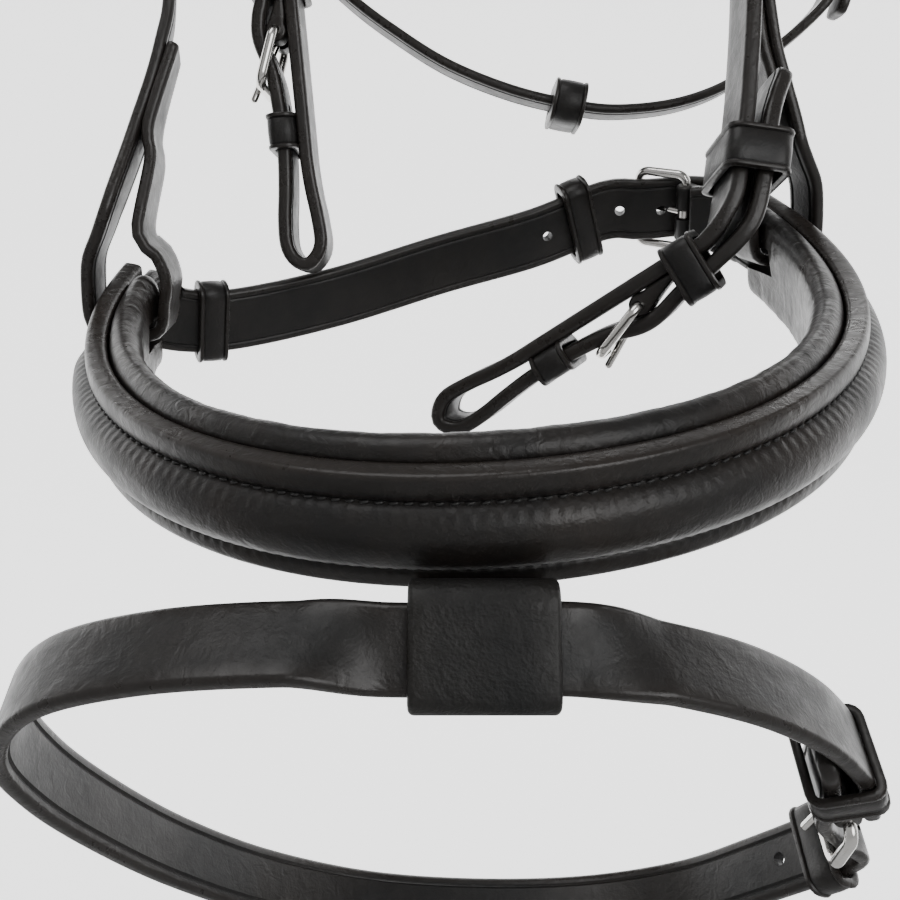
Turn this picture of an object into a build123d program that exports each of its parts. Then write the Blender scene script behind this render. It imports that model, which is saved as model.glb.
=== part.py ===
from build123d import *
import os
from math import asin, cos, degrees, hypot, pi, radians, sin

# English leather bridle, full size: headpiece, browband, throatlash, padded raised
# noseband with a flash strap, and two cheekpieces with empty bit loops.
# Frame: origin at the poll seat, the underside of the headpiece at its middle.
# +X is the wearer's left, -Y is towards the nose, +Z is up. Millimetres.
os.makedirs("parts", exist_ok=True)

# ---- straps: width, thickness -------------------------------------------------
CHEEK_WIDTH, CHEEK_THICK = 16.0, 4.0
HANGER_WIDTH, HANGER_THICK = 14.0, 3.2
THROAT_WIDTH, THROAT_THICK = 12.0, 3.0
CHIN_WIDTH, CHIN_THICK = 20.0, 3.6
FLASH_WIDTH, FLASH_THICK = 16.0, 3.6
BROW_WIDTH, BROW_THICK = 16.0, 4.0
CROWN_WIDTH, CROWN_THICK = 36.0, 6.0
KEEPER_THICK = 1.6            # leather of a keeper's band
FIT = 0.4                     # air between a keeper and what it holds

# ---- buckles ------------------------------------------------------------------
WIRE = 1.4                    # radius of a buckle's bars
PIN = 1.0                     # radius of a buckle's tongue
EYE_FIT = 0.06                # radial play of the tongue's eye on its bar
CHAPE = 1.55                  # leather wrapped round the buckle's bar
FRAME_LENGTH = 15.0           # from the wrapped bar to the resting bar
FRAME_RISE = 5.6              # how far the resting bar stands above the wrapped bar

# ---- headpiece ----------------------------------------------------------------
ARCH_X, ARCH_Z = 66.0, 45.0   # half span and rise of the headpiece's middle layer
CROWN_END = -105.0            # height of the headpiece's two ends
LAP_TOP = -73.0               # where the sewn-on straps start on the headpiece
PIVOT_Z = -88.0               # middle of the stitched laps
CHEEK_Y, THROAT_Y = -9.0, 9.0

# ---- noseband -----------------------------------------------------------------
RING_Z = -430.0               # centre of the noseband's ring
RING_A, RING_B = 96.0, 97.7   # half width and half depth of the ring
DROOP, ROLL = 28.2, 3.4       # the ring's front hangs low; one side hangs higher
RING_SAG = -9.5               # how far the ring's sides lie under its plane
BAND_HEIGHT, BAND_THICK = 26.0, 5.0
LINING_IN = 8.0               # thickness of the soft lining
LINING_TOP, LINING_LOW = 15.5, 13.6
RAISE_HALF, RAISE_HIGH = 7.2, 4.0
LEFT_SLOT, RIGHT_SLOT = pi - 0.02, 2 * pi + 0.25
SLOT_LONG, SLOT_HIGH, SLOT_UP = 19.0, 8.0, 0.5


def lerp(a, b, f):
    return a * (1 - f) + b * f


def glide(p0, p1, p2, p3, f):
    """Catmull-Rom point between p1 and p2."""
    a = p1 * 2
    b = (p2 - p0) * f
    c = (p0 * 2 - p1 * 5 + p2 * 4 - p3) * (f * f)
    d = (p1 * 3 - p0 - p2 * 3 + p3) * (f * f * f)
    return (a + b + c + d) * 0.5


def stations(keys, step=7.0):
    """Stations (point, across, outward) along a smooth line through the keys.

    A key is (point, across): the strap's middle and the direction of its width.
    """
    points = [Vector(*k[0]) for k in keys]
    across = [Vector(*k[1]).normalized() for k in keys]
    ends = [points[0] * 2 - points[1]] + points + [points[-1] * 2 - points[-2]]
    line, side = [], []
    for i in range(len(points) - 1):
        count = max(1, round((points[i + 1] - points[i]).length / step))
        for j in range(count):
            f = j / count
            line.append(glide(ends[i], ends[i + 1], ends[i + 2], ends[i + 3], f))
            side.append(lerp(across[i], across[i + 1], f))
    line.append(points[-1])
    side.append(across[-1])
    result = []
    for i, here in enumerate(line):
        ahead = line[min(i + 1, len(line) - 1)]
        behind = line[max(i - 1, 0)]
        along = (ahead - behind).normalized()
        wide = (side[i] - along * side[i].dot(along)).normalized()
        result.append((here, wide, along.cross(wide)))
    return result


def ribbon(steps, profile):
    """Solid through one section at each station; profile is (outward, across)."""
    wires = []
    for here, wide, outward in steps:
        corners = [here + outward * o + wide * w for o, w in profile]
        wires.append(Wire.make_polygon(corners, close=True))
    return Solid.make_loft(wires, ruled=True)


def strap(keys, width, thick, step=7.0):
    h, t = width / 2, thick / 2
    return ribbon(stations(keys, step), [(-t, -h), (t, -h), (t, h), (-t, h)])


class Spot:
    """A place on a strap: u runs along it, v is its outer side, w is its width."""

    def __init__(self, origin, u, v):
        self.o = Vector(*origin)
        self.u = Vector(*u).normalized()
        raw = Vector(*v)
        self.v = (raw - self.u * raw.dot(self.u)).normalized()
        self.w = self.u.cross(self.v)

    def at(self, u, v=0.0, w=0.0):
        return self.o + self.u * u + self.v * v + self.w * w

    def plane(self, u=0.0, v=0.0, w=0.0):
        return Plane(origin=self.at(u, v, w), x_dir=self.u, z_dir=self.w)

    def box(self, u0, u1, v0, v1, half):
        middle = self.plane((u0 + u1) / 2, (v0 + v1) / 2)
        return middle * Box(u1 - u0, v1 - v0, 2 * half)

    def rod(self, u0, v0, u1, v1, radius):
        start, end = self.at(u0, v0), self.at(u1, v1)
        run = end - start
        base = Plane(origin=start, x_dir=self.w, z_dir=run)
        return base * Cylinder(radius, run.length, align=(Align.CENTER, Align.CENTER, Align.MIN))


def spot_near(keys, place, step=5.0):
    """The spot on a strap's own line that is nearest to a place."""
    place = Vector(*place)
    here, wide, outward = min(stations(keys, step), key=lambda s: (s[0] - place).length)
    spot = Spot((0, 0, 0), wide.cross(outward), outward)
    spot.o = here
    return spot


def keeper(spot, u0, u1, v0, v1, half, thick=KEEPER_THICK):
    """A leather loop round everything between v0 and v1."""
    outer = spot.box(u0, u1, v0 - thick, v1 + thick, half + thick)
    outer = fillet(outer.edges().filter_by(Axis(spot.o, spot.u)), thick * 0.9)
    return outer - spot.box(u0 - 1, u1 + 1, v0, v1, half)


# ---- the buckle and what belongs to it -----------------------------------------
# In a buckle's spot, u = 0 is the wrapped bar and the frame reaches to -u. The strap
# that carries the buckle lies on v = 0 under +u. The strap that is fastened comes
# from -u, goes under the resting bar and over the wrapped bar, and ends at +u.
def bar_height(thick):
    return thick / 2 + CHAPE + WIRE + 0.15


def buckle_frame(spot, thick, width):
    v1 = bar_height(thick)
    v2 = v1 + FRAME_RISE
    half = width / 2 + 0.6 + WIRE
    corners = [spot.at(0, v1, half), spot.at(-FRAME_LENGTH, v2, half)]
    corners += [spot.at(-FRAME_LENGTH, v2, -half), spot.at(0, v1, -half)]
    path = FilletPolyline(*corners, radius=3.2, close=True)
    start = Plane(origin=path @ 0, z_dir=path % 0)
    return sweep(start * Circle(WIRE), path=path)


def tongue_line(thick):
    """Start and tip (u, v) of the tongue's pin, which rests on the far bar."""
    v1 = bar_height(thick)
    reach = hypot(FRAME_LENGTH, FRAME_RISE)
    lift = asin((WIRE + PIN + 0.08) / reach)
    slope = asin(FRAME_RISE / reach) + lift
    along, up = -cos(slope), sin(slope)
    tip = reach + 3.2
    return (along * 1.8, v1 + up * 1.8), (along * tip, v1 + up * tip)


def tongue(spot, thick):
    (u0, v0), (u1, v1) = tongue_line(thick)
    eye = Cylinder(WIRE + EYE_FIT + 0.85, 2.2) - Cylinder(WIRE + EYE_FIT, 3)
    pin = spot.rod(u0, v0, u1, v1, PIN)
    tip = Pos(*spot.at(u1, v1)) * Sphere(PIN)
    return spot.plane(0, bar_height(thick)) * eye + pin + tip


def tongue_hole(spot, thick):
    """The punched hole that the tongue passes through, as a cutter."""
    (u0, v0), (u1, v1) = tongue_line(thick)
    return spot.rod(u0, v0, u1, v1, PIN + 0.9)


def chape(spot, thick, width, length=18.0):
    """The leather that wraps the buckle's bar and is sewn down along the strap."""
    v1 = bar_height(thick)
    low = thick / 2 + 0.08
    radius = WIRE + CHAPE
    wedge = [(0, low + 0.13), (3, low), (length, low), (length, low + 1.4),
             (radius * 0.4, v1 + radius * 0.9), (0, v1 + radius * 0.9)]
    sketch = make_face(Polyline(*wedge, close=True)) + Pos(0, v1) * Circle(radius)
    sketch -= Pos(0, v1) * Circle(WIRE + 0.03)
    body = extrude(spot.plane() * sketch, amount=width / 2 - 1, both=True)
    return body - spot.box(-5, 2.9, low - 1, v1 + radius + 1, 1.5)


def fastened(thick):
    """Key points (u, v) of the fastened strap's middle, from under the frame to its tip."""
    v1 = bar_height(thick)
    over = v1 + WIRE + CHAPE + 0.2 + thick / 2
    under = v1 + FRAME_RISE - WIRE - 0.3 - thick / 2
    flat = 1.5 * thick + 0.25
    return [(-26, flat + 0.2), (-FRAME_LENGTH, under), (-9, under + 0.35 * (over - under)), (-4, over - 0.5),
            (0, over), (4.5, over - 0.7), (10, flat + 1.7), (18, flat + 0.5), (28, flat), (36, flat)]


def running_span(thick):
    """Inner v range of a keeper that holds the carrying and the fastened strap."""
    return -thick / 2 - FIT, 1.5 * thick + 0.25 + 1.8 + thick / 2 + FIT


made = {}


def keep(name, solid):
    made[name] = solid


# ---- headpiece, sliphead and browband ------------------------------------------
def arch(half, rise, low):
    """Keys of a strap laid over the poll: two straight sides and a half ellipse between."""
    points = [(-half, 0, low), (-half, 0, -ARCH_Z - 12)]
    for k in range(13):
        a = pi - pi * k / 12
        points.append((half * cos(a), 0, -ARCH_Z + CROWN_THICK / 2 + rise * sin(a)))
    points += [(half, 0, -ARCH_Z - 12), (half, 0, low)]
    return [(p, (0, 1, 0)) for p in points]


keep("headpiece", strap(arch(ARCH_X, ARCH_Z, CROWN_END), CROWN_WIDTH, CROWN_THICK))

SLIP_OUT = CROWN_THICK / 2 + 0.5 + HANGER_THICK / 2
slip_arch = arch(ARCH_X + SLIP_OUT, ARCH_Z + SLIP_OUT, -100)

LOOP_THICK = 2.5
loop_in, loop_out = ARCH_X - CROWN_THICK / 2 - 0.6, ARCH_X + SLIP_OUT + HANGER_THICK / 2 + 0.6
loop_half = CROWN_WIDTH / 2 + 0.6
LOOP_Z = -53.0
for name, sign in (("left", -1), ("right", 1)):
    middle = Pos(sign * (loop_in + loop_out) / 2, 0, LOOP_Z)
    wide = loop_out - loop_in
    ring = Box(wide + 2 * LOOP_THICK, 2 * (loop_half + LOOP_THICK), BROW_WIDTH)
    ring = fillet(ring.edges().filter_by(Axis.Z), 2.0) - Box(wide, 2 * loop_half, BROW_WIDTH + 2)
    keep("browband_loop_" + name, middle * ring)

BROW_DEPTH = 92.0
brow_start = -(loop_half + LOOP_THICK)
brow_half = (loop_in + loop_out) / 2
brow_keys = []
for k in range(17):
    a = pi + pi * k / 16
    brow_keys.append(((brow_half * cos(a), brow_start + BROW_DEPTH * sin(a), LOOP_Z), (0, 0, 1)))
keep("browband", strap(brow_keys, BROW_WIDTH, BROW_THICK))


# ---- noseband ring -------------------------------------------------------------
ring_x = Vector(cos(radians(ROLL)), 0, sin(radians(ROLL)))
ring_y = Vector(-sin(radians(ROLL)) * sin(radians(DROOP)), cos(radians(DROOP)),
                cos(radians(ROLL)) * sin(radians(DROOP)))
ring_up = ring_x.cross(ring_y)
ring_centre = Vector(0, 0, RING_Z)


def ring_station(a):
    """Station on the noseband's ring; its sides flare so the lower edge stands out."""
    here = ring_centre + ring_x * (RING_A * cos(a)) + ring_y * (RING_B * sin(a))
    here = here + ring_up * (RING_SAG * cos(a) ** 2)
    flat = (ring_x * (cos(a) / RING_A) + ring_y * (sin(a) / RING_B)).normalized()
    flare = 0.03 + 0.16 * cos(a) ** 2
    wide = ring_up * cos(flare) - flat * sin(flare)
    outward = flat * cos(flare) + ring_up * sin(flare)
    return here, wide, outward


def ring_arc(start, end, count):
    return [ring_station(start + (end - start) * k / count) for k in range(count + 1)]


def ring_spot(a, out=0.0, up=0.0, lift=0.5):
    """Spot on the ring whose u leans from the ring's own up towards plumb by lift."""
    here, wide, outward = ring_station(a)
    rising = lerp(wide, Vector(0, 0, 1), lift)
    spot = Spot((0, 0, 0), rising, outward)
    spot.o = here + outward * out + wide * up
    return spot


BAND_START, BAND_END = pi - 0.17, 2 * pi + 0.40
h = BAND_HEIGHT / 2
band = ribbon(ring_arc(BAND_START, BAND_END, 44), [(0, -h), (BAND_THICK, -h), (BAND_THICK, h), (0, h)])
inner = -LINING_IN
lining_profile = [(-0.15, -LINING_LOW), (-0.15, LINING_TOP - 2.5), (-1.6, LINING_TOP - 0.4),
                  (-4.0, LINING_TOP), (inner + 1.6, LINING_TOP - 0.7), (inner, LINING_TOP - 3),
                  (inner, -LINING_LOW + 3), (inner + 2, -LINING_LOW)]
lining = ribbon(ring_arc(BAND_START + 0.07, BAND_END - 0.075, 44), lining_profile)
for a in (LEFT_SLOT, RIGHT_SLOT):
    spot = ring_spot(a, up=SLOT_UP)
    cutter = spot.box(-SLOT_HIGH / 2, SLOT_HIGH / 2, -25, 25, SLOT_LONG / 2)
    band -= cutter
    lining -= cutter
keep("noseband_front", band)
keep("noseband_lining", lining)
raise_profile = [(BAND_THICK + 0.05, -RAISE_HALF), (BAND_THICK + 1.6, -RAISE_HALF + 0.7),
                 (BAND_THICK + 3.2, -RAISE_HALF + 2.6), (BAND_THICK + RAISE_HIGH, -2),
                 (BAND_THICK + RAISE_HIGH, 2), (BAND_THICK + 3.2, RAISE_HALF - 2.6),
                 (BAND_THICK + 1.6, RAISE_HALF - 0.7), (BAND_THICK + 0.05, RAISE_HALF)]
keep("noseband_raise", ribbon(ring_arc(pi + 0.14, 2 * pi + 0.08, 36), raise_profile))


# ---- hangers: the straps that carry the noseband --------------------------------
# Each ends in a loop that passes through a slot in the noseband and is sewn to itself.
LAYER = HANGER_THICK * 1.06 + 0.15    # middle to middle of the sewn layers, along X
LOOP_OUT, LOOP_IN = BAND_THICK + 1.6 + HANGER_THICK / 2, -(LINING_IN + 2.0 + HANGER_THICK / 2)
loop_uv = [(27.5, -6.2), (21.5, -10.6), (15, LOOP_IN - 1.2), (9, LOOP_IN - 0.3), (5, LOOP_IN), (1.6, LOOP_IN + 1.3),
           (0, LOOP_IN + 4.4), (0, -3), (0, LOOP_OUT - 4.4), (1.6, LOOP_OUT - 1.3), (5, LOOP_OUT),
           (13, LOOP_OUT), (20, 7.4), (27, 4.4), (33, 2.0)]


def hanger_loop(a):
    """Keys of the sewn loop in the slot at angle a, free end first."""
    spot = ring_spot(a, up=SLOT_UP)
    return spot, [(tuple(spot.at(u, v)), tuple(spot.w)) for u, v in loop_uv]


left_spot, left_loop = hanger_loop(LEFT_SLOT)
right_spot, right_loop = hanger_loop(RIGHT_SLOT)
AHEAD = tuple(left_spot.w)

left_leg = [((-89.0, 5.5, -389), (0.10, -1, 0)), ((-83.5, 9.5, -368), (0.22, -1, 0)),
            ((-81.2, 12, -348), (0.30, -1, 0)), ((-80.5, 9, -290), (0.28, -1, 0)),
            ((-79.5, 5, -215), (0.12, -1, 0)), ((-77, 1.5, -150), (0, -1, 0))]


def sewn_end(leg, shift):
    """The loop's free end, sewn along the inner side of the leg above it, end first."""
    (x, y, z), wide = leg[0]
    end = [((p[0] + shift, p[1], p[2]), w) for p, w in reversed(leg)]
    return end + [((x + shift * 1.06, y - 0.5, z - 9), wide)]


slip_left = sewn_end(left_leg[:2], LAYER) + left_loop + left_leg + [(p, (0, -1, 0)) for p, w in slip_arch]
hanger_set = Spot((77.5, 9.5, -262), (0.02, 0.05, -1), (1, 0, 0))
slip_tip = [(tuple(hanger_set.at(u, v)), tuple(hanger_set.w)) for u, v in fastened(HANGER_THICK)]
slip_right = [((77.5, 1.5, -150), (0, -1, 0)), ((81, 5, -205), (0, -1, 0))] + slip_tip
sliphead = strap(slip_left + slip_right, HANGER_WIDTH, HANGER_THICK, 5.0)
keep("sliphead", sliphead - tongue_hole(hanger_set, HANGER_THICK))

right_leg = [((88, 17.5, -377), (0.05, 1, 0)), ((83.5, 16, -364), (0.1, 1, 0)),
             ((79.5, 14, -345), (0.1, 1, 0))]
right_top = [(tuple(hanger_set.at(u)), tuple(hanger_set.w * -1)) for u in (60, 40, 20, 1.5)]
right_hanger = sewn_end(right_leg, -LAYER) + right_loop + right_leg + right_top
keep("noseband_hanger", strap(right_hanger, HANGER_WIDTH, HANGER_THICK, 5.0))


def buckle_set(name, spot, thick, width, sewn=18.0):
    """Buckle, tongue, chape and running keeper at a spot."""
    keep(name + "_buckle", buckle_frame(spot, thick, width))
    keep(name + "_tongue", tongue(spot, thick))
    keep(name + "_chape", chape(spot, thick, width, sewn))
    low, high = running_span(thick)
    keep(name + "_keeper", keeper(spot, 10.5, 19.5, low, high, width / 2 + FIT))


buckle_set("hanger", hanger_set, HANGER_THICK, HANGER_WIDTH)


# ---- chin strap -----------------------------------------------------------------
UP = tuple(ring_up)
chin_way = Vector(0.965, -0.25, -0.03)
chin_set = Spot((69, 45.5, RING_Z + 22), chin_way, ring_up.cross(chin_way))
CHIN_IN = -CHIN_THICK / 2 - 0.03


def band_lap(angles):
    """Keys of a strap sewn under the noseband's end."""
    steps = [ring_station(a) for a in angles]
    return [(tuple(p + out * CHIN_IN), tuple(wide)) for p, wide, out in steps]


chin_left = band_lap((BAND_START + 0.045, BAND_START - 0.03)) + [((-89.5, 27.5, RING_Z - 9.5), UP)]
chin_left += [((-74, 37, RING_Z - 10), UP), ((-43, 47, RING_Z - 3), UP), ((-8, 53, RING_Z + 8), UP),
              ((22, 55, RING_Z + 16.5), UP)]
chin_end = [(tuple(chin_set.at(u, v)), UP) for u, v in fastened(CHIN_THICK)[:-3]]
chin = strap(chin_left + chin_end, CHIN_WIDTH, CHIN_THICK, 5.0)
keep("chin_strap", chin - tongue_hole(chin_set, CHIN_THICK))
tail = [(tuple(chin_set.at(u)), UP) for u in (1.5, 9)] + [((83.5, 46, RING_Z + 19.5), UP)]
tail += band_lap((BAND_END + 0.03, BAND_END - 0.045))
keep("noseband_tail", strap(tail, CHIN_WIDTH, CHIN_THICK, 3.0))
keep("chin_buckle", buckle_frame(chin_set, CHIN_THICK, CHIN_WIDTH))
keep("chin_tongue", tongue(chin_set, CHIN_THICK))
keep("chin_chape", chape(chin_set, CHIN_THICK, CHIN_WIDTH, 8.0))
chin_left_spot = spot_near(chin_left + chin_end, (-79.5, 34, RING_Z - 10))
keep("chin_left_keeper", keeper(chin_left_spot, -4.5, 4.5, -CHIN_THICK / 2 - 0.5, CHIN_THICK / 2 + 0.5,
                                CHIN_WIDTH / 2 + 0.5, 2.2))
chin_right_spot = spot_near(chin_left + chin_end, (40, 53, RING_Z + 21))
keep("chin_right_keeper", keeper(chin_right_spot, -4.5, 4.5, -CHIN_THICK / 2 - 1.0, CHIN_THICK / 2 + 1.0,
                                 CHIN_WIDTH / 2 + 1.2, 2.4))

# ---- flash strap ------------------------------------------------------------------
FLASH_TILT = 52.0
flash_back = Vector(0, cos(radians(FLASH_TILT)), -sin(radians(FLASH_TILT)))
flash_up = Vector(0, sin(radians(FLASH_TILT)), cos(radians(FLASH_TILT)))
FLASH_FRONT = Vector(0, -98, RING_Z - 68)


def flash_point(x, d):
    return FLASH_FRONT + flash_back * d + Vector(x, 0, 0)


UPRIGHT = (0, 0.28, 0.96)
FUP = tuple(flash_up)
flash_set = Spot(tuple(flash_point(84, 54)), tuple(Vector(-0.40, 0, 0) - flash_back * 0.92), (-1, 0, 0))
flash_front = [((0, -2), UPRIGHT), ((17, -2), UPRIGHT), ((32, 2), FUP), ((50, 10), FUP), ((65, 21.5), FUP)]
flash_keys = [(tuple(flash_set.at(u)), FUP) for u in (1.5, 12, 21)]
flash_keys += [(tuple(flash_point(*p)), w) for p, w in reversed(flash_front)]
flash_side = [(-17, -2), (-32, -4), (-58, -1), (-79, 8), (-91, 26), (-91, 46), (-84, 68), (-72, 91),
              (-54, 112), (-28, 128), (2, 134), (32, 132), (57, 121), (73, 104)]
flash_keys += [(tuple(flash_point(*p)), UPRIGHT if p[0] == -17 else FUP) for p in flash_side]
flash_keys += [(tuple(flash_set.at(u, v)), FUP) for u, v in fastened(FLASH_THICK)[:-1]]
flash = strap(flash_keys, FLASH_WIDTH, FLASH_THICK, 5.0)
keep("flash_strap", flash - tongue_hole(flash_set, FLASH_THICK))
buckle_set("flash", flash_set, FLASH_THICK, FLASH_WIDTH, 14.0)
rear_spot = spot_near(flash_keys, flash_point(83, 86))
keep("flash_rear_keeper", keeper(rear_spot, -4.5, 4.5, -FLASH_THICK / 2 - 0.5, FLASH_THICK / 2 + 0.5,
                                 FLASH_WIDTH / 2 + 0.5, 1.8))

# The tab hangs from the noseband's lower edge and folds round the flash strap. Its two
# layers run back over the strap's upper edge to the underside of the band.
TAB_WIDTH, TAB_THICK = 26.0, 2.6
tab_spot = Spot(tuple(flash_point(0.5, -2)), UPRIGHT, (0, -1, 0))
TAB_GAP = FLASH_THICK / 2 + 0.5 + TAB_THICK / 2
FOLD = FLASH_WIDTH / 2 + 0.4 + TAB_THICK / 2
tab_uv = [(4.6, -14), (4.6, -9), (3.4, -5.4), (0, -TAB_GAP), (-FOLD + 3, -TAB_GAP), (-FOLD + 0.6, -TAB_GAP + 1.0),
          (-FOLD, 0), (-FOLD + 0.6, TAB_GAP - 1.0), (-FOLD + 3, TAB_GAP), (5, TAB_GAP), (8.9, TAB_GAP - 0.1),
          (10.7, 1.3), (10.3, -2.5), (8.5, -7.5), (7.9, -13.2)]
tab_keys = [(tuple(tab_spot.at(u, v)), tuple(tab_spot.w)) for u, v in tab_uv]
keep("flash_tab", strap(tab_keys, TAB_WIDTH, TAB_THICK, 2.5))

# ---- cheekpieces ---------------------------------------------------------------
# The strap comes down, forms the bit loop, and its end is fastened back on itself.
BIT_LOOP = [(40, 0), (32, 0), (24, -0.5), (15, -1.6), (8, -1.8), (3.9, 0.2), (2, 3.3), (3.9, 6.5),
            (8, 8.3), (15, 8.2), (23, 7.2), (32, 6.4)]
BUCKLE_UP = 68.0
FLAT = 1.5 * CHEEK_THICK + 0.25


def cheek_keys(spot):
    """Keys from the straight stretch down round the bit loop and back past the buckle."""
    keys = [(90, 0), (84, 0), (76, 0), (68, 0), (54, 0)] + BIT_LOOP + [(40, FLAT)]
    keys += [(BUCKLE_UP + u, v) for u, v in fastened(CHEEK_THICK)[1:-3]]
    return [(tuple(spot.at(u, v)), tuple(spot.w)) for u, v in keys]


def crown_lap(sign, y, thick):
    x = sign * (ARCH_X - CROWN_THICK / 2 - 0.3 - thick / 2)
    return [((x, y, z), (0, -sign, 0)) for z in (LAP_TOP, -90, CROWN_END - 1)]


cheek_low = {"left": Spot((-44.4, 30, RING_Z + 4.4), (-0.08, 0, 0.997), (-1, 0, 0)),
             "right": Spot((-9.4, 18.3, RING_Z - 36.6), (0.774, -0.362, 0.52), (0.525, -0.092, -0.846))}
cheek_top = {"left": Spot((-55.5, -8, -200), (0.02, 0.12, -1), (-1, 0, 0)),
             "right": Spot((56.5, -9, -200), (0.04, 0.02, -1), (1, 0, 0))}
cheek_route = {"left": [(-52.2, 27.6, -318), (-53, 19.5, -292), (-53.8, 9, -266)],
               "right": [(64.2, -15.0, -410.5), (66.4, -12, -397), (68.4, -9, -381), (69.5, -5, -350),
                         (66, -4, -300), (61, -6, -265)]}
# The fastened end's last stretch, through its second keeper to its tip.
cheek_tip = {"left": [(-57.8, 29.9, -334), (-58.6, 27.2, -318), (-59.4, 23, -304), (-61.4, 20.5, -295)],
             "right": [(61.9, -13.9, -426.2), (68.4, -16, -416.5), (71.4, -14, -405), (73.2, -11.2, -393),
                       (75.2, -8, -386.5), (78.2, -5, -379.5)]}
tip_keeper_at = {"left": (-52.3, 26, -315), "right": (66.2, -12.4, -399)}
for name, sign in (("left", -1), ("right", 1)):
    low, top = cheek_low[name], cheek_top[name]
    wide = tuple(top.w * -1)
    low_set = Spot(low.at(BUCKLE_UP), low.u, low.v)
    route = [(tuple(top.at(u)), wide) for u in (1.5, 20, 42)]
    route += [(p, wide) for p in reversed(cheek_route[name])] + cheek_keys(low)
    tip_spot = spot_near(route, tip_keeper_at[name], 4.0)
    route += [(cheek_tip[name][0], tuple(low.w))] + [(p, wide) for p in cheek_tip[name][1:]]
    cheek = strap(route, CHEEK_WIDTH, CHEEK_THICK, 4.0)
    keep("cheek_strap_" + name, cheek - tongue_hole(low_set, CHEEK_THICK))
    buckle_set("cheek_low_" + name, low_set, CHEEK_THICK, CHEEK_WIDTH, 14.0)
    fixed = CHEEK_THICK / 2 + 0.03 + KEEPER_THICK
    keep("cheek_fixed_keeper_" + name, keeper(low, 35, 45, fixed, FLAT + CHEEK_THICK / 2 + FIT, CHEEK_WIDTH / 2 + FIT))
    keep("cheek_tip_keeper_" + name, keeper(tip_spot, -5.5, 5.5, -CHEEK_THICK / 2 - 1.0,
                                            FLAT + CHEEK_THICK / 2 + 1.8, CHEEK_WIDTH / 2 + 1.2))
    buckle_set("cheek_top_" + name, top, CHEEK_THICK, CHEEK_WIDTH)
    billet = crown_lap(sign, CHEEK_Y, CHEEK_THICK)
    billet += [(tuple(top.at(u, v)), (0, -sign, 0)) for u, v in fastened(CHEEK_THICK)]
    billet = strap(billet, CHEEK_WIDTH, CHEEK_THICK, 5.0)
    keep("crown_billet_" + name, billet - tongue_hole(top, CHEEK_THICK))

# ---- throatlash -----------------------------------------------------------------
throat_set = Spot((119.5, 46, -311), (-0.27, 0.06, -0.96), (1, 0, -0.28))
ACROSS = (0, 1, 0)
throat_low = [(110.8, 48.5, -342), (104.3, 50.5, -349.5), (93.8, 54, -358), (82.3, 57, -366), (66.7, 59, -371),
              (48, 60, -372.6), (32.7, 60, -370.8), (14.3, 60, -366.5), (-5.3, 60, -359), (-21.5, 60, -349.5),
              (-37.5, 60, -338), (-55, 58, -322), (-71, 54, -300), (-82, 47, -270), (-87, 39, -230),
              (-82, 30, -188), (-73, 22, -155), (-65, 14, -128)]
throat_keys = [(tuple(throat_set.at(u)), ACROSS) for u in (1.5, 12, 22)] + [(p, ACROSS) for p in throat_low]
left_lap = [(p, ACROSS) for p, w in reversed(crown_lap(-1, THROAT_Y, THROAT_THICK))]
throat_keys += left_lap
keep("throatlash", strap(throat_keys, THROAT_WIDTH, THROAT_THICK, 6.0))
tail_route = [(65, 13, -128), (74, 22, -158), (90, 31, -195), (106, 38, -235), (118, 43, -268)]
throat_tail = crown_lap(1, THROAT_Y, THROAT_THICK) + [(p, ACROSS) for p in tail_route]
throat_tail = [(p, ACROSS) for p, w in throat_tail]
throat_tail += [(tuple(throat_set.at(u, v)), ACROSS) for u, v in fastened(THROAT_THICK)[1:]]
keep("throatlash_tail", strap(throat_tail, THROAT_WIDTH, THROAT_THICK, 5.0) - tongue_hole(throat_set, THROAT_THICK))
buckle_set("throat", throat_set, THROAT_THICK, THROAT_WIDTH, 14.0)
slider_spot = spot_near(throat_keys, (32.7, 60, -370.8), 6.0)
SLIDER_WALL = 4.4
keep("throat_slider", keeper(slider_spot, -5.2, 5.2, -THROAT_THICK / 2 - 0.8, THROAT_THICK / 2 + 0.8,
                             THROAT_WIDTH / 2 + 0.8, SLIDER_WALL))

for name, solid in made.items():
    export_step(solid, "parts/" + name + ".step")
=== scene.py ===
from math import cos, hypot, pi, radians, sin

import bpy
import numpy as np
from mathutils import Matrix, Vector, noise


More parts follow.
